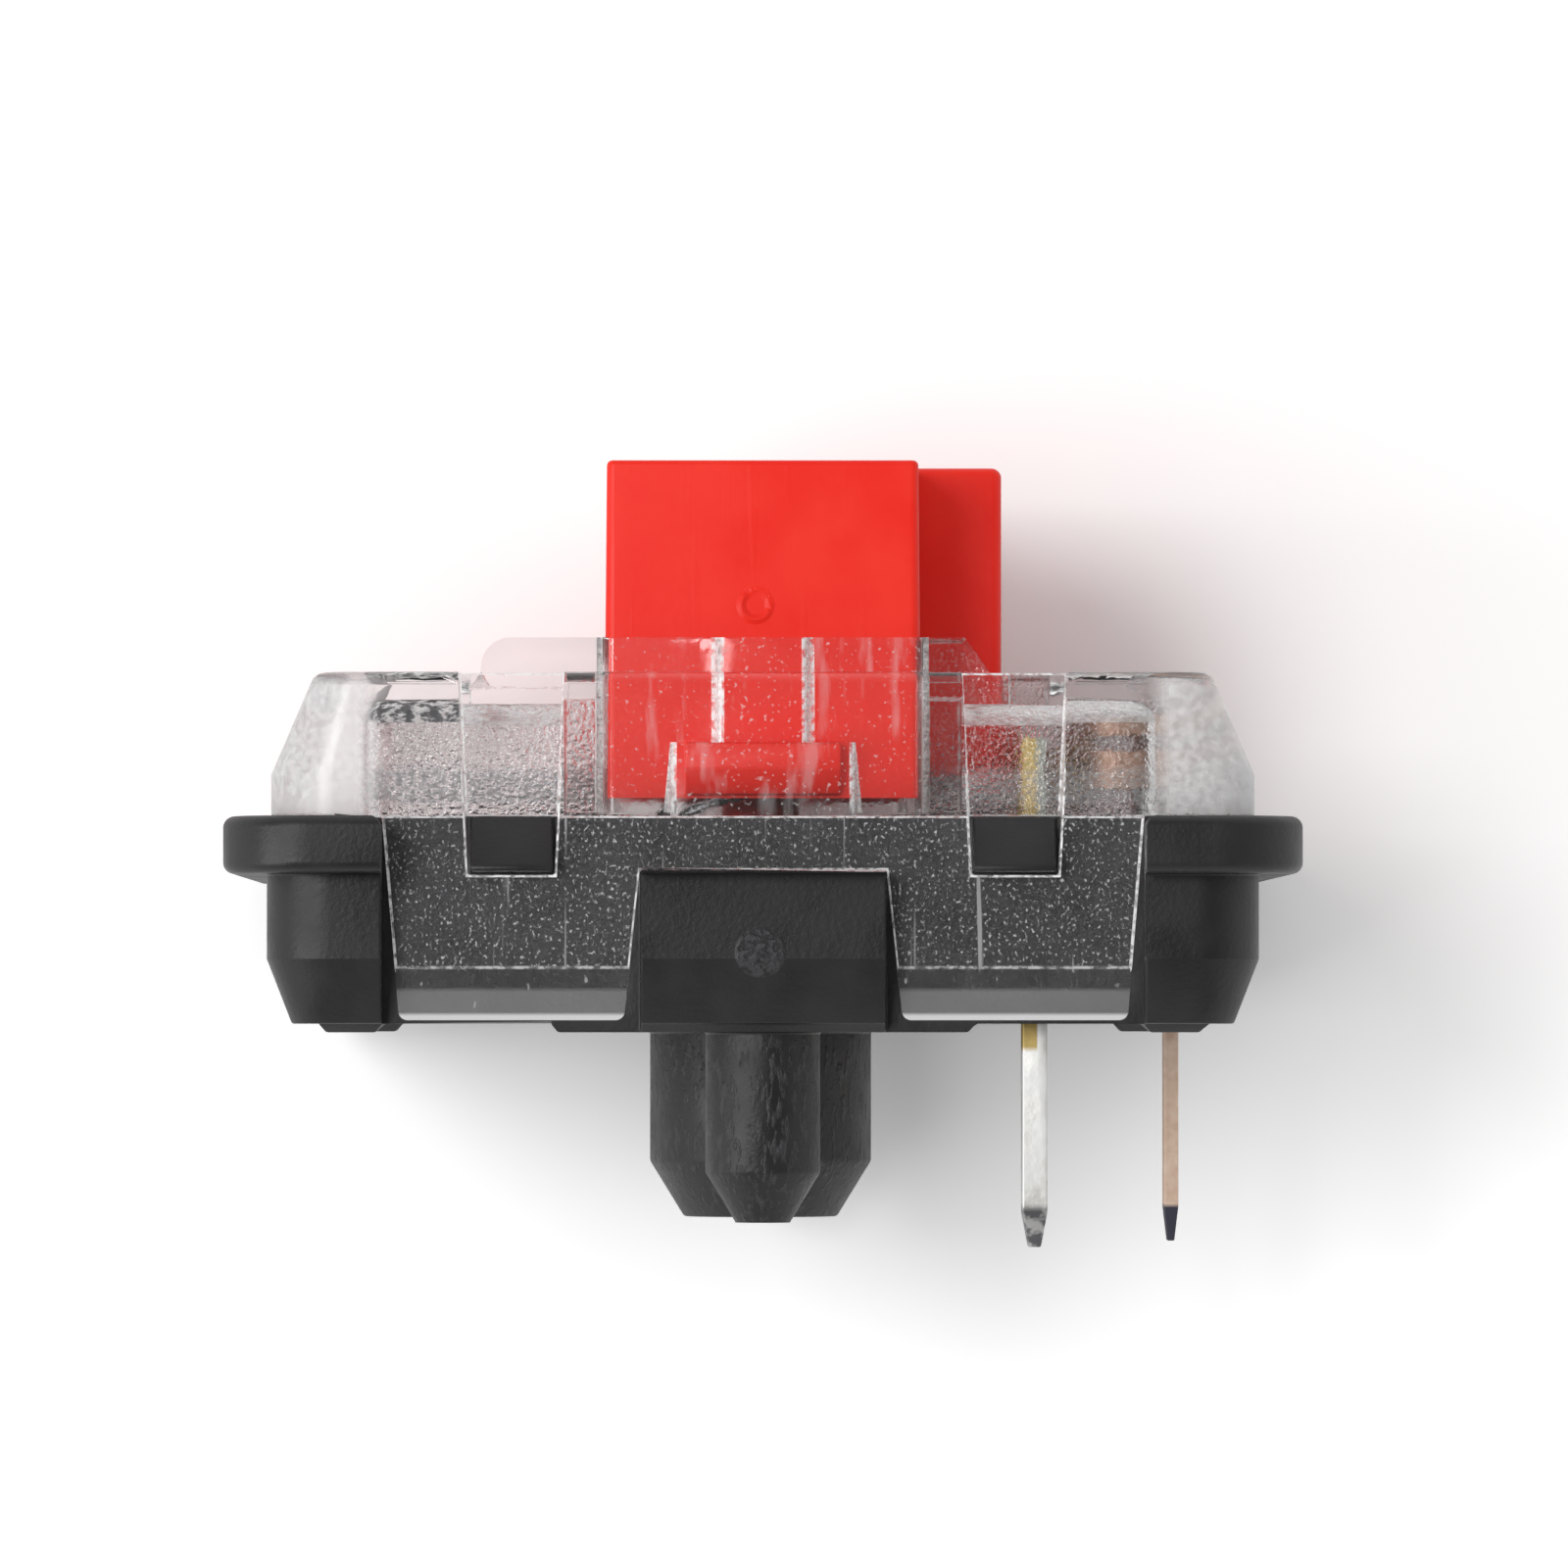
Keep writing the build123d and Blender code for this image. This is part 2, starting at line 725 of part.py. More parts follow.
# Moving contact: a leaf bent like a hairpin, with a finger that rides on the cam lobe
with BuildPart() as moving_contact:
    # The whole ribbon at full height
    ribbon_bottom = floor_top + seat_clearance
    ribbon_height = leaf_top - ribbon_bottom
    finger_start = leaf_y - finger_length / 2
    finger_end = leaf_y + finger_length / 2
    with BuildLine() as ribbon:
        FilletPolyline(
            (leaf_x, leaf_root_end, ribbon_bottom),
            (leaf_x, leaf_bend_y, ribbon_bottom),
            (tongue_x, leaf_bend_y, ribbon_bottom),
            (tongue_x, finger_start, ribbon_bottom),
            (finger_x, leaf_y - finger_tip_length / 2, ribbon_bottom),
            (finger_x, leaf_y + finger_tip_length / 2, ribbon_bottom),
            (tongue_x, finger_end, ribbon_bottom),
            (tongue_x, tongue_end_y, ribbon_bottom),
            radius=(
                leaf_bend_radius,
                leaf_bend_radius,
                leaf_thickness,
                leaf_thickness / 2 + fit_clearance,
                leaf_thickness / 2 + fit_clearance,
                leaf_thickness,
            ),
        )
    start = Plane(origin=ribbon.line @ 0, x_dir=(1, 0, 0), z_dir=(0, -1, 0))
    with BuildSketch(start):
        with Locations((0, ribbon_height / 2)):
            Rectangle(leaf_thickness, ribbon_height)
    sweep(path=ribbon.line)

    # Cut away below the strip, away from the root
    below = (0, leaf_bottom)
    box_between((0, outside), (-outside, leaf_root_start), below, Mode.SUBTRACT)
    box_between((0, leaf_x - leaf_thickness), (-outside, outside), below, Mode.SUBTRACT)

    # The tongue's end is only as high as its finger
    tongue_half = (0, (leaf_x + tongue_x) / 2)
    past_point = (finger_start - leaf_thickness, outside)
    finger_top = finger_bottom + finger_height
    box_between(tongue_half, past_point, (finger_top, outside), Mode.SUBTRACT)
    box_between(tongue_half, past_point, (0, finger_bottom), Mode.SUBTRACT)

    # Slot that makes the bend springy
    slot_top = leaf_top - bend_slot_drop
    box_between(
        (tongue_x - leaf_thickness, outside),
        (-outside, bend_slot_end_y),
        (slot_top - bend_slot_height, slot_top),
        Mode.SUBTRACT,
    )
    tapered_tail(leaf_x, leaf_y, leaf_thickness)


# Gold bar welded lengthwise on the moving contact
with BuildPart() as moving_contact_point:
    moving_face = tongue_x - leaf_half
    box_between(
        (moving_face - moving_point_height, moving_face),
        (point_y - point_length / 2, point_y + point_length / 2),
        (point_z - point_width / 2, point_z + point_width / 2),
    )


lower_housing.part.label = "lower_housing"
upper_housing.part.label = "upper_housing"
stem.part.label = "stem"
return_spring.part.label = "return_spring"
fixed_contact.part.label = "fixed_contact"
fixed_contact_point.part.label = "fixed_contact_point"
moving_contact.part.label = "moving_contact"
moving_contact_point.part.label = "moving_contact_point"

for piece in (
    lower_housing,
    upper_housing,
    stem,
    return_spring,
    fixed_contact,
    fixed_contact_point,
    moving_contact,
    moving_contact_point,
):
    export_step(piece.part, f"parts/{piece.part.label}.step")
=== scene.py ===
import math

import bmesh
import bpy
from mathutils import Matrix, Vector
from mathutils.bvhtree import BVHTree


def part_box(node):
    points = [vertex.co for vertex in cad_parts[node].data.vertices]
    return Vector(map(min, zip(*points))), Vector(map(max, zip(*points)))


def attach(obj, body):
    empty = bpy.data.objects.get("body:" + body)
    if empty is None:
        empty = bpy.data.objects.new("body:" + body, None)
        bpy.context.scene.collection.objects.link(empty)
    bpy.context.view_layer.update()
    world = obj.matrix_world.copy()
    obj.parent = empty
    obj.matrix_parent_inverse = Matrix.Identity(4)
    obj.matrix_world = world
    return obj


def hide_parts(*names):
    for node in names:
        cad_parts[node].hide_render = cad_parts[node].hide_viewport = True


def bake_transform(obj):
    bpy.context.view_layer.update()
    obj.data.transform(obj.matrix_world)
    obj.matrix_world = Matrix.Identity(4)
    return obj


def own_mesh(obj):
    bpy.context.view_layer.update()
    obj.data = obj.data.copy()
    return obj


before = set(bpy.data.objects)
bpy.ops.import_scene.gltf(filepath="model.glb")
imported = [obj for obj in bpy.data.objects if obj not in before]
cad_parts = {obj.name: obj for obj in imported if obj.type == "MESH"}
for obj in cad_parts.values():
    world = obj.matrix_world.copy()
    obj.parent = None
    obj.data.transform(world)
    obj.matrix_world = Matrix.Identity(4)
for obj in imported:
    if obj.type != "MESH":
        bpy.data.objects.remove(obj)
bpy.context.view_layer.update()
mm = 0.001


# The tray is one moulding of black nylon: a flange that seats on the plate, walls that draw in
# towards the base, and three posts that go through the circuit board. It came out of a
# spark-eroded tool, so it is satin with a fine grain, and its edges are broken.
tray_edge = 0.03 * mm
same_place = 1e-7
flat_angle = 0.08
sharp_angle = 25
smooth_angle = 20
shortest_side = 2.2


def sharp_edges(form):
    """The edges where two faces meet at a real corner."""
    least = math.radians(sharp_angle)
    return [e for e in form.edges if len(e.link_faces) == 2 and e.calc_face_angle(0) > least]


def round_off(form, edges, width, segments, slot):
    """Edges made into narrow rounds, whose faces take a material slot."""
    bmesh.ops.bevel(
        form, geom=edges, offset=width, offset_type="OFFSET", segments=segments,
        profile=0.5, affect="EDGES", clamp_overlap=False, material=slot,
    )


def moulded(cad, name, edge, segments=2, edge_slot=-1, crisp=None, full=None, full_edge=0.0):
    """A copy of a CAD piece with its facets merged and its sharp edges broken.

    Edges stay as they are inside the crisp box, and where short ones leave no room. Those
    that full picks are rounded more than the rest.
    """
    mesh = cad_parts[cad].data.copy()
    mesh.name = name
    mesh.materials.clear()
    form = bmesh.new()
    form.from_mesh(mesh)
    bmesh.ops.remove_doubles(form, verts=form.verts, dist=same_place)
    bmesh.ops.dissolve_limit(
        form, angle_limit=math.radians(flat_angle), verts=form.verts, edges=form.edges
    )
    if full:
        round_off(form, [e for e in sharp_edges(form) if full(e)], full_edge, 4, edge_slot)
    sharp = sharp_edges(form)
    crowded = {v for e in sharp if e.calc_length() < shortest_side * edge for v in e.verts}
    if crisp:
        low, high = crisp
        crowded.update(
            v for v in form.verts if all(a < b < c for a, b, c in zip(low, v.co, high))
        )
    roomy = [e for e in sharp if crowded.isdisjoint(e.verts)]
    round_off(form, roomy, edge, segments, edge_slot)
    bmesh.ops.dissolve_degenerate(form, dist=2 * same_place, edges=form.edges)
    bmesh.ops.triangulate(form, faces=[f for f in form.faces if len(f.verts) > 4])
    soften(form)
    form.to_mesh(mesh)
    form.free()
    piece = bpy.data.objects.new(name, mesh)
    bpy.context.scene.collection.objects.link(piece)
    return piece


def soften(form):
    """Smooth shading, broken at every edge that turns by more than the smooth angle."""
    most = math.radians(smooth_angle)
    for face in form.faces:
        face.smooth = True
    for edge in form.edges:
        edge.smooth = len(edge.link_faces) == 2 and edge.calc_face_angle(0) < most


def new_material(name):
    """A node material with its Principled shader."""
    made = bpy.data.materials.new(name)
    made.use_nodes = True
    return made, made.node_tree, made.node_tree.nodes["Principled BSDF"]


def node(tree, kind, inputs=None, **settings):
    """A node with its settings, and its inputs given as values or as sockets to link."""
    made = tree.nodes.new(kind)
    for key, value in settings.items():
        setattr(made, key, value)
    for key, value in (inputs or {}).items():
        if isinstance(value, bpy.types.NodeSocket):
            tree.links.new(value, made.inputs[key])
        else:
            made.inputs[key].default_value = value
    return made


def grain(tree, per_mm, detail=3.0, roughness=0.55, stretch=(1, 1, 1)):
    """Noise with so many features to the millimetre, fixed to the piece."""
    place = node(tree, "ShaderNodeTexCoord").outputs["Object"]
    stretched = node(tree, "ShaderNodeMapping", {"Vector": place, "Scale": stretch})
    inputs = {
        "Vector": stretched.outputs[0],
        "Scale": per_mm / mm,
        "Detail": detail,
        "Roughness": roughness,
    }
    return node(tree, "ShaderNodeTexNoise", inputs).outputs["Fac"]


def spread(tree, value, low, high, start=0.35, end=0.65):
    """A noise's middle range mapped to a low and a high value."""
    made = node(
        tree, "ShaderNodeMapRange",
        {"Value": value, "From Min": start, "From Max": end, "To Min": low, "To Max": high},
    )
    return made.outputs["Result"]


def bump(tree, height, depth, strength=1.0, normal=None):
    """Relief of a depth in millimetres."""
    inputs = {"Height": height, "Distance": depth * mm, "Strength": strength}
    if normal is not None:
        inputs["Normal"] = normal
    return node(tree, "ShaderNodeBump", inputs).outputs["Normal"]


def mixed(tree, share, first, second):
    """Two colours mixed by a share."""
    made = node(tree, "ShaderNodeMix", data_type="RGBA")
    tree.links.new(share, made.inputs["Factor"])
    for socket, colour in ((made.inputs[6], first), (made.inputs[7], second)):
        if isinstance(colour, bpy.types.NodeSocket):
            tree.links.new(colour, socket)
        else:
            socket.default_value = (*colour, 1)
    return made.outputs[2]


def maths(tree, operation, first, second=0.0):
    """One step of arithmetic, in a material or in a geometry tree."""
    return node(tree, "ShaderNodeMath", {0: first, 1: second}, operation=operation).outputs[0]


def larger(tree, first, second):
    """The larger of two values."""
    return maths(tree, "MAXIMUM", first, second)


def product(tree, first, second):
    """Two values multiplied."""
    return maths(tree, "MULTIPLY", first, second)


def place_along(tree, axis):
    """The place along one axis of the piece."""
    place = node(tree, "ShaderNodeTexCoord").outputs["Object"]
    return node(tree, "ShaderNodeSeparateXYZ", {"Vector": place}).outputs[axis]


def distance_from(tree, centre):
    """The distance from a point of the piece, given in millimetres."""
    place = node(tree, "ShaderNodeTexCoord").outputs["Object"]
    point = tuple(v * mm for v in centre)
    return node(
        tree, "ShaderNodeVectorMath", {0: place, 1: point}, operation="DISTANCE",
    ).outputs["Value"]


black_nylon, tree, shader = new_material("black_nylon")
fine = grain(tree, 14, detail=4)
cloudy = grain(tree, 1.1, detail=2)
tree.links.new(spread(tree, cloudy, 0.36, 0.5), shader.inputs["Roughness"])
shader.inputs["IOR"].default_value = 1.53

# An ejector has left a rough round mark on the block between the front arms, and the posts
# are scuffed.
ejector_centre = (-0.04, -6.9, 1.1)
ejector_radius = 0.31 * mm
ejector_rim = 0.36 * mm
mark = product(
    tree,
    spread(tree, distance_from(tree, ejector_centre), 1, 0, ejector_radius, ejector_rim),
    spread(tree, grain(tree, 13), 0, 1, 0.4, 0.55),
)
scuffed_below = -0.25 * mm
unscuffed_above = 0.05 * mm
scuffs = product(
    tree,
    spread(tree, place_along(tree, "Z"), 1, 0, scuffed_below, unscuffed_above),
    spread(tree, grain(tree, 10, detail=4, stretch=(1, 1, 0.3)), 0, 0.8, 0.52, 0.68),
)
rough = larger(tree, mark, scuffs)
satin = mixed(tree, spread(tree, cloudy, 0, 1), (0.0085, 0.0085, 0.0095), (0.014, 0.014, 0.0155))
tree.links.new(
    mixed(tree, rough, satin, (0.042, 0.042, 0.046)),
    shader.inputs["Base Color"],
)
tree.links.new(
    bump(tree, rough, 0.02, 0.9, bump(tree, fine, 0.012, 0.5)),
    shader.inputs["Normal"],
)

holder_corner = ((3.2 * mm, -5.6 * mm, 0.4 * mm), (4.4 * mm, -3.0 * mm, 2.3 * mm))
tray = moulded("lower_housing", "tray", tray_edge, crisp=holder_corner)
tray.data.materials.append(black_nylon)
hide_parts("lower_housing")
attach(tray, "base")


# The fixed contact is a blanked plate of tinned brass. It stands upright in its holder beside
# the stem, and its tail goes down through the floor of the tray. The tin is worn to the brass
# under the floor, the sheared tip is grey, and higher up the tin is painted darker as shade.
tinned_brass, tree, shader = new_material("tinned_brass")
cloudy = grain(tree, 2.2, detail=4)
tin = mixed(tree, spread(tree, cloudy, 0, 1), (0.86, 0.85, 0.81), (0.95, 0.95, 0.94))
tin_painted_shade = (0.32, 0.33, 0.29)
brass = (0.5, 0.37, 0.14)
brass_from = -0.28 * mm
brass_side = 3.82 * mm
shear_top = -2.38 * mm
height = place_along(tree, "Z")
bare = product(
    tree,
    spread(tree, height, 0, 1, brass_from, brass_from + 0.08 * mm),
    spread(tree, place_along(tree, "X"), 1, 0, brass_side, brass_side + 0.02 * mm),
)
# Painted shade: the tin's colour darkens from 1 mm to 2.5 mm up, inside the cover.
tin = mixed(tree, spread(tree, height, 0, 1, 1 * mm, 2.5 * mm), tin, tin_painted_shade)
worn = mixed(tree, bare, tin, brass)
sheared = product(
    tree,
    spread(tree, height, 1, 0, shear_top - 0.12 * mm, shear_top),
    spread(tree, grain(tree, 5), 0.45, 1, 0.42, 0.55),
)
tree.links.new(mixed(tree, sheared, worn, (0.16, 0.16, 0.17)), shader.inputs["Base Color"])
tree.links.new(spread(tree, cloudy, 0.4, 0.6), shader.inputs["Roughness"])
tree.links.new(bump(tree, grain(tree, 6), 0.01, 0.6), shader.inputs["Normal"])
shader.inputs["Metallic"].default_value = 0.85

plate = moulded("fixed_contact", "fixed_contact_plate", 0.02 * mm)
plate.data.materials.append(tinned_brass)
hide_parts("fixed_contact")
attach(plate, "base")


# The moving contact is a leaf of phosphor bronze, bent like a hairpin. Its root is held in the
# tray, its slotted bend gives the spring, and its finger rides on the stem's cam. Its colour is
# bright at the tail, painted dark brown above as shade from the cover, and dark at the tip.
phosphor_bronze, tree, shader = new_material("phosphor_bronze")
rolled = grain(tree, 5, detail=3, stretch=(1, 0.15, 1))
tip_top = -2.46 * mm
unshaded_below = 0.2 * mm
full_shade_above = 2.6 * mm
height = place_along(tree, "Z")
# Painted shade: the colour darkens from the tail upwards, for the shade inside the cover.
painted_shade_above = spread(tree, height, 0, 1, unshaded_below, full_shade_above)
tail = mixed(tree, spread(tree, rolled, 0, 1), (0.8, 0.56, 0.42), (0.92, 0.72, 0.58))
# Painted shade: the darker brown that the leaf takes inside the cover.
shaded_spring_colour = mixed(tree, spread(tree, rolled, 0, 1), (0.27, 0.165, 0.12), (0.38, 0.25, 0.19))
tip = spread(tree, height, 1, 0, tip_top - 0.06 * mm, tip_top)
tree.links.new(
    mixed(tree, tip, mixed(tree, painted_shade_above, tail, shaded_spring_colour), (0.05, 0.05, 0.075)),
    shader.inputs["Base Color"],
)
tree.links.new(spread(tree, rolled, 0.5, 0.65), shader.inputs["Roughness"])
tree.links.new(bump(tree, rolled, 0.004, 0.6), shader.inputs["Normal"])
shine = spread(tree, height, 0.35, 0.8, unshaded_below, full_shade_above)
tree.links.new(shine, shader.inputs["Metallic"])

leaf = moulded("moving_contact", "moving_contact_leaf", 0.015 * mm)
leaf.data.materials.append(phosphor_bronze)
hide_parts("moving_contact")
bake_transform(leaf)


# The two contact points are short bars of gold alloy wire, welded crosswise, so that they
# always touch at one spot.
gold_alloy, tree, shader = new_material("gold_alloy")
cloudy = grain(tree, 4, detail=3)
tree.links.new(
    mixed(tree, spread(tree, cloudy, 0, 1), (0.72, 0.45, 0.12), (0.9, 0.64, 0.24)),
    shader.inputs["Base Color"],
)
tree.links.new(spread(tree, cloudy, 0.2, 0.36), shader.inputs["Roughness"])
shader.inputs["Metallic"].default_value = 1.0

for cad, name, body in (
    ("fixed_contact_point", "fixed_gold_bar", "base"),
    ("moving_contact_point", "moving_gold_bar", "contact_tip"),
):
    bar = moulded(cad, name, 0.03 * mm, 3)
    bar.data.materials.append(gold_alloy)
    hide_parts(cad)
    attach(bar, body)


# The return spring is wound from 0.2 mm steel wire, with a closed coil at each end. It stands
# on a boss in the tray and lifts the stem by the ceiling of its pocket.
spring_steel, tree, shader = new_material("spring_steel")
tree.links.new(spread(tree, grain(tree, 6), 0.2, 0.34), shader.inputs["Roughness"])
shader.inputs["Base Color"].default_value = (0.6, 0.6, 0.61, 1)
shader.inputs["Metallic"].default_value = 1.0

spring_low, spring_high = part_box("return_spring")
coil_tree = bpy.data.node_groups.new("compression_spring", "GeometryNodeTree")
for name, kind, value in (
    ("Radius", "NodeSocketFloat", 1.42 * mm),
    ("Wire", "NodeSocketFloat", 0.2 * mm),
    ("Turns", "NodeSocketFloat", 8.0),
    ("Foot", "NodeSocketFloat", 0.0),
    ("Height", "NodeSocketFloat", 6.4 * mm),
):
    socket = coil_tree.interface.new_socket(name, in_out="INPUT", socket_type=kind)
    socket.default_value = value
coil_tree.interface.new_socket("Spring", in_out="OUTPUT", socket_type="NodeSocketGeometry")
given = coil_tree.nodes.new("NodeGroupInput").outputs

line = node(coil_tree, "GeometryNodeCurvePrimitiveLine", {"End": (0, 0, 1)})
steps = 361
wire_sides = 10
wound = node(coil_tree, "GeometryNodeResampleCurve", {"Curve": line.outputs[0], "Count": steps})
along = node(coil_tree, "GeometryNodeSplineParameter").outputs["Factor"]
turn = product(coil_tree, product(coil_tree, along, given["Turns"]), math.tau)
rise = node(coil_tree, "ShaderNodeFloatCurve", {"Value": along}).outputs[0]
rise_curve = rise.node.mapping.curves[0]
rise_curve.points[0].location = (0.0, 0.0)
rise_curve.points[1].location = (1.0, 1.0)
closed_foot = (0.11, 0.032)
closed_head = (0.89, 0.968)
for closed_end in (closed_foot, closed_head):
    rise_curve.points.new(*closed_end)
rise.node.mapping.update()
free_height = maths(coil_tree, "SUBTRACT", given["Height"], given["Wire"])
half_wire = product(coil_tree, given["Wire"], 0.5)
height = maths(
    coil_tree, "ADD",
    maths(coil_tree, "ADD", given["Foot"], half_wire),
    product(coil_tree, rise, free_height),
)
place = node(
    coil_tree, "ShaderNodeCombineXYZ",
    {
        "X": product(coil_tree, given["Radius"], maths(coil_tree, "COSINE", turn)),
        "Y": product(coil_tree, given["Radius"], maths(coil_tree, "SINE", turn)),
        "Z": height,
    },
)
coil = node(
    coil_tree, "GeometryNodeSetPosition",
    {"Geometry": wound.outputs[0], "Position": place.outputs[0]},
)
section = node(
    coil_tree, "GeometryNodeCurvePrimitiveCircle",
    {"Resolution": wire_sides, "Radius": half_wire},
)
wire = node(
    coil_tree, "GeometryNodeCurveToMesh",
    {"Curve": coil.outputs[0], "Profile Curve": section.outputs[0], "Fill Caps": True},
)
real = node(coil_tree, "GeometryNodeRealizeInstances", {"Geometry": wire.outputs[0]})
steel = node(
    coil_tree, "GeometryNodeSetMaterial",
    {"Geometry": real.outputs[0], "Material": spring_steel},
)
out = coil_tree.nodes.new("NodeGroupOutput")
coil_tree.links.new(steel.outputs[0], out.inputs[0])


def grown(name, tree, **sizes):
    """The plain mesh that a geometry tree gives with these sizes."""
    holder = bpy.data.objects.new(name, bpy.data.meshes.new(name))
    bpy.context.scene.collection.objects.link(holder)
    modifier = holder.modifiers.new(name, "NODES")
    modifier.node_group = tree
    for item in tree.interface.items_tree:
        if item.in_out == "INPUT" and item.name in sizes:
            modifier[item.identifier] = sizes[item.name]
    bpy.context.view_layer.update()
    seen = holder.evaluated_get(bpy.context.evaluated_depsgraph_get())
    mesh = bpy.data.meshes.new_from_object(seen)
    mesh.name = name
    holder.modifiers.remove(modifier)
    holder.data = mesh
    return holder


spring = grown(
    "return_coil", coil_tree,
    Foot=spring_low.z, Height=spring_high.z - spring_low.z,
)
spring.data.shade_smooth()
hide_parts("return_spring")
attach(spring, "base")
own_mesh(spring)


# The stem is moulded in red acetal, which is slightly waxy and lets a little light in. It
# slides in the cover, with two slots for the keycap's prongs and a block beside it for the cam.
red_acetal, tree, shader = new_material("red_acetal")
cloudy = grain(tree, 0.9, detail=3)
tree.links.new(
    mixed(tree, spread(tree, cloudy, 0, 1), (0.95, 0.017, 0.006), (0.985, 0.025, 0.01)),
    shader.inputs["Base Color"],
)
tree.links.new(spread(tree, cloudy, 0.34, 0.44), shader.inputs["Roughness"])
shader.inputs["Specular IOR Level"].default_value = 0.35


def away_from(tree, value, centre):
    """How far a value lies from a centre, on either side."""
    return maths(tree, "ABSOLUTE", maths(tree, "SUBTRACT", value, centre))


# The tool's polish has left faint upright streaks, and the gate a small curl on the front.
gate_centre = (-0.1, -5.27, 5.97)
gate_radius = 0.2 * mm
streaks = spread(tree, grain(tree, 4, detail=2, stretch=(1, 1, 0.06)), 0, 1, 0.55, 0.75)
from_ring = away_from(tree, distance_from(tree, gate_centre), gate_radius)
curl = product(
    tree, spread(tree, from_ring, 1, 0, 0.01 * mm, 0.07 * mm),
    spread(tree, grain(tree, 2.4), 0.2, 1, 0.42, 0.55),
)
polished = bump(tree, streaks, 0.003, 0.6, bump(tree, grain(tree, 9), 0.004, 0.4))
tree.links.new(bump(tree, curl, 0.03, 0.9, polished), shader.inputs["Normal"])
shader.inputs["IOR"].default_value = 1.48
shader.inputs["Subsurface Weight"].default_value = 0.12
shader.inputs["Subsurface Radius"].default_value = (1.0, 0.25, 0.15)
shader.inputs["Subsurface Scale"].default_value = 0.4 * mm

stem = moulded("stem", "stem_block", 0.035 * mm)
stem.data.materials.append(red_acetal)
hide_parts("stem")
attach(stem, "slider")


# The cover is clear polycarbonate, polished outside and left matt inside. Its four arms reach
# down the ends of the tray, and their windows snap over the hooks there.
clear_tint = (0.985, 0.98, 0.982)


def lets_light_through(tree, shader):
    """Clear plastic that doesn't stop the light of lamps and room on what lies behind it."""
    share = 0.95
    path = node(tree, "ShaderNodeLightPath").outputs
    passing = larger(tree, path["Is Shadow Ray"], path["Is Diffuse Ray"])
    open_air = node(tree, "ShaderNodeBsdfTransparent", {"Color": (share, share, share, 1)})
    both = node(
        tree, "ShaderNodeMixShader",
        {0: passing, 1: shader.outputs[0], 2: open_air.outputs[0]},
    )
    tree.links.new(both.outputs[0], tree.nodes["Material Output"].inputs["Surface"])


def polycarbonate(name):
    """A node material of clear polycarbonate, with its Principled shader."""
    made, tree, shader = new_material(name)
    shader.inputs["Base Color"].default_value = (*clear_tint, 1)
    shader.inputs["IOR"].default_value = 1.585
    shader.inputs["Transmission Weight"].default_value = 1.0
    lets_light_through(tree, shader)
    return made, tree, shader


def clouded(tree, shader, haze):
    """A share of the surface that scatters light like frost, and the rest clear."""
    tree.links.new(maths(tree, "SUBTRACT", 1.0, haze), shader.inputs["Transmission Weight"])


clear_polycarbonate, tree, shader = polycarbonate("clear_polycarbonate")
tree.links.new(bump(tree, grain(tree, 1.6), 0.006, 0.5), shader.inputs["Normal"])

# The two thick side walls are frosted below the roof's edge.
wall_inside = 5.3 * mm
wall_outside = 5.65 * mm
roof_edge = 4.8 * mm
roof_face = 4.97 * mm
from_middle = maths(tree, "ABSOLUTE", place_along(tree, "X"))
side_wall = product(
    tree,
    spread(tree, from_middle, 0, 1, wall_inside, wall_outside),
    spread(tree, place_along(tree, "Z"), 1, 0, roof_edge, roof_face),
)
tree.links.new(spread(tree, side_wall, 0.03, 0.3, 0, 1), shader.inputs["Roughness"])
frost = product(tree, side_wall, spread(tree, grain(tree, 9, detail=4), 0.36, 0.62))
clouded(tree, shader, frost)

# Inside the hollow the tool's eroded skin has left a coarse, glittering texture. Along its foot,
# where it turns towards the tray, it is painted dark as shade, more on the left.
matt_polycarbonate, tree, shader = polycarbonate("matt_polycarbonate")
coarse = grain(tree, 14, detail=2, roughness=0.5)
tree.links.new(spread(tree, coarse, 0.05, 0.24), shader.inputs["Roughness"])
tree.links.new(bump(tree, coarse, 0.02, 1.0), shader.inputs["Normal"])
foot_low = 3.14 * mm
foot_high = 3.72 * mm
height = place_along(tree, "Z")
at_foot = product(
    tree,
    spread(tree, height, 0, 1, foot_low, foot_low + 0.1 * mm),
    spread(tree, height, 1, 0, foot_high - 0.12 * mm, foot_high),
)
more_shade_left = spread(tree, place_along(tree, "X"), 0.9, 0.45, -2 * mm, 2 * mm)
# Painted shade: a dark band along the foot, standing in for the black tray below.
painted_shade = product(
    tree, product(tree, at_foot, more_shade_left),
    spread(tree, grain(tree, 20, detail=3, stretch=(0.6, 1, 1)), 0.2, 0.8, 0.44, 0.58),
)
tree.links.new(mixed(tree, painted_shade, clear_tint, (0.1, 0.1, 0.11)), shader.inputs["Base Color"])
glitter = spread(tree, grain(tree, 20, detail=1), 0, 0.28, 0.5, 0.72)
clouded(tree, shader, larger(tree, glitter, painted_shade))

# The round under the roof is the roughest. At its left end its colour is painted dark, standing
# in for the tray seen through it.
ceiling_polycarbonate, tree, shader = polycarbonate("ceiling_polycarbonate")
coarse = grain(tree, 12, detail=3, stretch=(0.6, 1, 1))
tree.links.new(spread(tree, coarse, 0.3, 0.55), shader.inputs["Roughness"])
tree.links.new(bump(tree, coarse, 0.05, 1.0), shader.inputs["Normal"])
left_end = -4.15 * mm
at_left = spread(tree, place_along(tree, "X"), 0.95, 0.2, left_end - 0.1 * mm, left_end)
# Painted shade: dark colour at the left end of the round.
painted_shade = product(tree, at_left, spread(tree, coarse, 1, 0.1, 0.46, 0.6))
tree.links.new(
    mixed(tree, painted_shade, (0.9, 0.9, 0.9), (0.03, 0.03, 0.035)),
    shader.inputs["Base Color"],
)
clouded(tree, shader, larger(tree, painted_shade, spread(tree, coarse, 0.2, 0.5)))

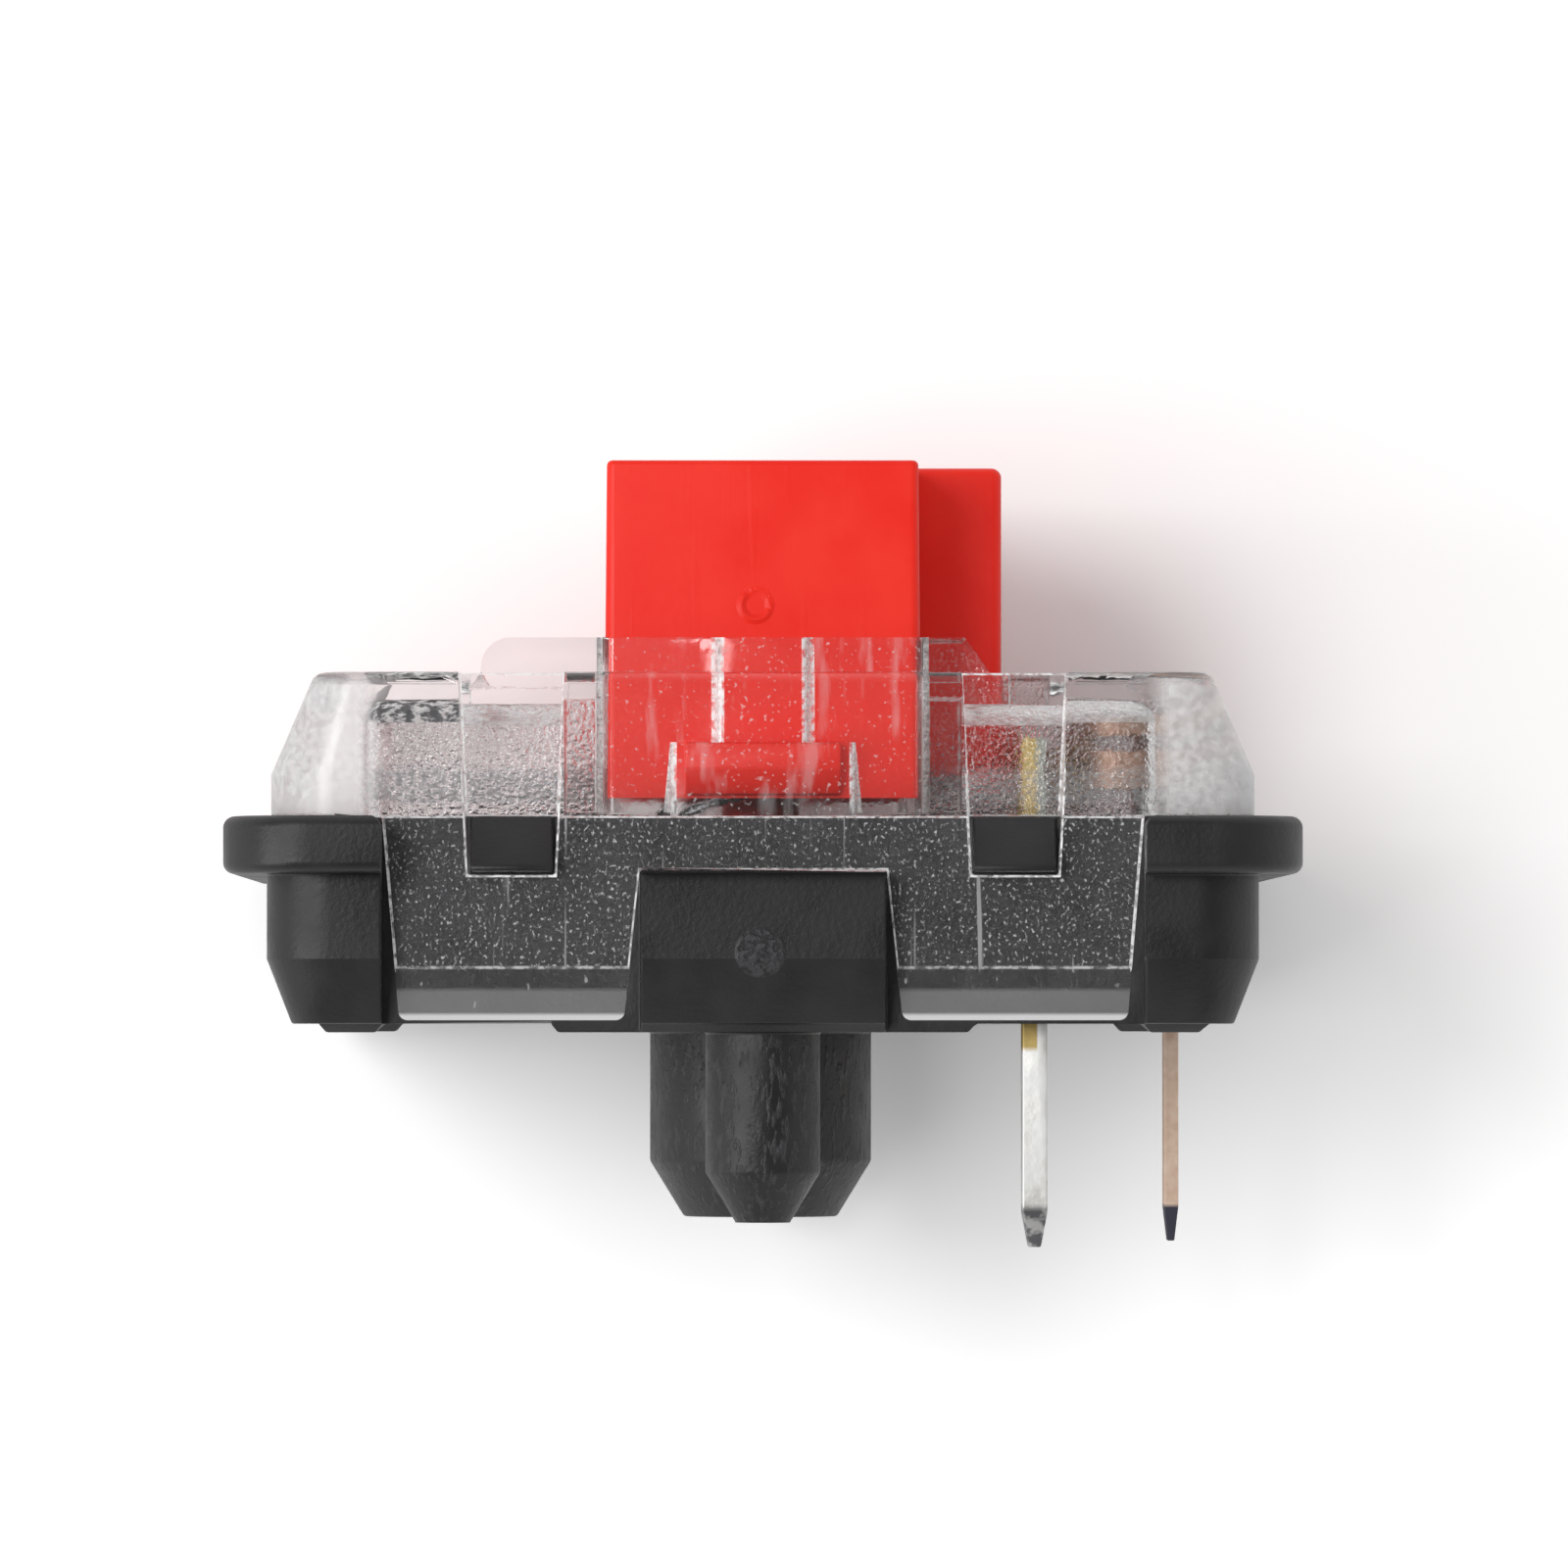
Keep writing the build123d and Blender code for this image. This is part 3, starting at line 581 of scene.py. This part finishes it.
# The guide faces beside the stem are polished, with a few specks and streaks.
guide_polycarbonate, tree, shader = polycarbonate("guide_polycarbonate")
tree.links.new(spread(tree, grain(tree, 2), 0.03, 0.12), shader.inputs["Roughness"])
tree.links.new(bump(tree, grain(tree, 3, detail=3), 0.006, 0.3), shader.inputs["Normal"])
specks = spread(tree, grain(tree, 15, detail=1), 0.01, 0.4, 0.64, 0.74)
streaks = spread(tree, grain(tree, 3.4, detail=4, stretch=(1, 1, 0.2)), 0, 0.2, 0.56, 0.7)
clouded(tree, shader, larger(tree, specks, streaks))

# The arms' inner faces are finer, with specks and a few drag marks along Z. Below a rough line
# the lead-in is matt, down to its bright lower edge.
arm_polycarbonate, tree, shader = polycarbonate("arm_polycarbonate")
rough_line = 0.9 * mm
lead_in_top = 0.63 * mm
lower_edge_top = 0.29 * mm
height = place_along(tree, "Z")
specks = product(
    tree,
    spread(tree, height, 0.15, 1, rough_line - 0.04 * mm, rough_line),
    spread(tree, grain(tree, 24, detail=1.5, stretch=(1, 1, 0.7)), 0, 0.5, 0.58, 0.74),
)
drags = spread(tree, grain(tree, 6, detail=1, stretch=(1.6, 1.6, 0.06)), 0, 0.34, 0.69, 0.77)
lead_in = spread(tree, height, 0.17, 0, lead_in_top - 0.07 * mm, lead_in_top)
lower_edge = spread(tree, height, 0.8, 0, lower_edge_top - 0.06 * mm, lower_edge_top)
line = product(
    tree, spread(tree, away_from(tree, height, rough_line), 0.6, 0, 0.01 * mm, 0.03 * mm),
    spread(tree, grain(tree, 7), 0.15, 1, 0.42, 0.6),
)
marks = larger(tree, larger(tree, specks, drags), line)
clouded(tree, shader, larger(tree, marks, larger(tree, lead_in, lower_edge)))
tree.links.new(spread(tree, grain(tree, 14), 0.03, 0.09), shader.inputs["Roughness"])
tree.links.new(bump(tree, grain(tree, 14, detail=2), 0.004, 0.6), shader.inputs["Normal"])

# The broken edges are hazy, so they catch the light as fine bright lines.
edge_polycarbonate, tree, shader = polycarbonate("edge_polycarbonate")
tree.links.new(spread(tree, grain(tree, 9), 0.2, 0.5), shader.inputs["Roughness"])
tree.links.new(bump(tree, grain(tree, 12, detail=4), 0.02, 0.8), shader.inputs["Normal"])
clouded(tree, shader, spread(tree, grain(tree, 12, detail=3), 0.1, 0.9, 0.4, 0.56))

# The guide faces and the channels for the stem's lugs lie this far from the middle, along Y.
guide_near = 5.3 * mm
guide_far = 6 * mm


def channel_corner(edge):
    """True for the upright corners of the two channels above the stem's lugs."""
    first, second = (v.co for v in edge.verts)
    upright = (first - second).to_2d().length < 0.01 * mm and abs(first.z - second.z) > 0.4 * mm
    return upright and abs(first.x) < 1.5 * mm and guide_near < abs(first.y) < guide_far - 0.1 * mm


clear, matt, arm, broken_edge, guide, ceiling = range(6)
cover = moulded(
    "upper_housing", "cover", 0.03 * mm, edge_slot=broken_edge,
    full=channel_corner, full_edge=0.09 * mm,
)
for skin in (
    clear_polycarbonate, matt_polycarbonate, arm_polycarbonate, edge_polycarbonate,
    guide_polycarbonate, ceiling_polycarbonate,
):
    cover.data.materials.append(skin)

# Each face gets its skin by where it lies and which way it looks. What faces another wall of
# the cover is inside the hollow.
arm_inside = 6.25 * mm
arm_head = 2.95 * mm
guide_half_width = 2.4 * mm
ceiling_low = 4.26 * mm
ceiling_high = 4.6 * mm
off_the_face = 0.01 * mm
form = bmesh.new()
form.from_mesh(cover.data)
walls = BVHTree.FromBMesh(form)
for face in form.faces:
    if face.material_index == broken_edge:
        continue
    away = face.normal
    middle = face.calc_center_median()
    hit = walls.ray_cast(middle + away * off_the_face, away)
    face.material_index = clear if hit[0] is None else matt
    inwards = away.y * middle.y < 0 and abs(away.y) > 0.8
    if inwards and abs(middle.y) > arm_inside and middle.z < arm_head:
        face.material_index = arm
    if inwards and abs(middle.x) < guide_half_width and guide_near < abs(middle.y) < guide_far:
        face.material_index = guide
    slanted = max(abs(v) for v in away) < 0.999
    rounded = slanted and (away.z < -0.05 or face.material_index == matt)
    if rounded and ceiling_low < middle.z < ceiling_high:
        face.material_index = ceiling
form.to_mesh(cover.data)
form.free()
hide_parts("upper_housing")
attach(cover, "base")


# The switch lies on its back on a sheet of white card, seen from straight above it.
card_y = 7.52 * mm
card_size = 3.0
card_material, tree, shader = new_material("white_card")
path = node(tree, "ShaderNodeLightPath").outputs
looked_at = larger(tree, path["Is Camera Ray"], path["Is Transmission Ray"])
tree.links.new(
    mixed(tree, looked_at, (0.88, 0.88, 0.88), (1.3, 1.3, 1.3)),
    shader.inputs["Base Color"],
)
shader.inputs["Roughness"].default_value = 0.9
shader.inputs["Specular IOR Level"].default_value = 0.1
seen_from_behind = node(tree, "ShaderNodeNewGeometry").outputs["Backfacing"]
unseen = node(tree, "ShaderNodeBsdfTransparent")
one_sided = node(
    tree, "ShaderNodeMixShader",
    {0: seen_from_behind, 1: shader.outputs[0], 2: unseen.outputs[0]},
)
tree.links.new(one_sided.outputs[0], tree.nodes["Material Output"].inputs["Surface"])
card_mesh = bpy.data.meshes.new("white_card")
half = card_size / 2
card_mesh.from_pydata(
    [(-half, card_y, -half), (half, card_y, -half), (half, card_y, half), (-half, card_y, half)],
    [], [(0, 1, 2, 3)],
)
card_mesh.materials.append(card_material)
card = bpy.data.objects.new("white_card", card_mesh)
bpy.context.scene.collection.objects.link(card)


# A wide lamp shines from the left like a window, with a smaller one nearer the camera, in a
# white room that is darker on the camera's side.
for name, place, size, power in (
    ("window_lamp", (-0.75, -0.6, -0.15), 0.6, 2.6),
    ("soft_lamp", (-0.34, -0.86, 0.15), 0.3, 2.3),
):
    lamp = bpy.data.lights.new(name, "AREA")
    lamp.shape = "DISK"
    lamp.size = size
    lamp.energy = power
    lamp_object = bpy.data.objects.new(name, lamp)
    lamp_object.location = place
    lamp_object.rotation_euler = (-Vector(place)).to_track_quat("-Z", "Y").to_euler()
    bpy.context.scene.collection.objects.link(lamp_object)

room = bpy.data.worlds.new("white_room")
room.use_nodes = True
tree = room.node_tree
path = node(tree, "ShaderNodeLightPath").outputs
towards = node(tree, "ShaderNodeTexCoord").outputs["Generated"]
depth = node(tree, "ShaderNodeSeparateXYZ", {"Vector": towards}).outputs["Y"]
mirrored = node(
    tree, "ShaderNodeMapRange",
    {"Value": depth, "From Min": -0.95, "From Max": 0.1, "To Min": 0.12, "To Max": 1.0},
).outputs[0]
room_light = 0.57
mirror_ray = larger(tree, path["Is Glossy Ray"], path["Is Transmission Ray"])
lighting = node(
    tree, "ShaderNodeMix",
    {"Factor": mirror_ray, "A": room_light, "B": mirrored}, data_type="FLOAT",
).outputs[0]
strength = node(
    tree, "ShaderNodeMix",
    {"Factor": path["Is Camera Ray"], "A": lighting, "B": 1.0}, data_type="FLOAT",
).outputs[0]
tree.links.new(strength, tree.nodes["Background"].inputs["Strength"])
tree.nodes["Background"].inputs["Color"].default_value = (1, 1, 1, 1)
bpy.context.scene.world = room
paths = bpy.context.scene.cycles
paths.max_bounces = 14
paths.transmission_bounces = 14
paths.diffuse_bounces = 2
paths.caustics_reflective = False
paths.caustics_refractive = False


# The camera looks along the switch from just above its base, through a long lens.
camera = bpy.data.cameras.new("camera")
camera.sensor_width = 36
camera.lens = 280.6
camera.clip_start = 0.005
camera.clip_end = 10
camera_object = bpy.data.objects.new("camera", camera)
camera_object.location = (-1.0 * mm, -176 * mm, 0.2 * mm)
aim = Vector((0.29 * mm, -6.3 * mm, 3.45 * mm)) - camera_object.location
camera_object.rotation_euler = aim.to_track_quat("-Z", "Y").to_euler()
bpy.context.scene.collection.objects.link(camera_object)
bpy.context.scene.camera = camera_object
bpy.context.scene.view_settings.view_transform = "Standard"
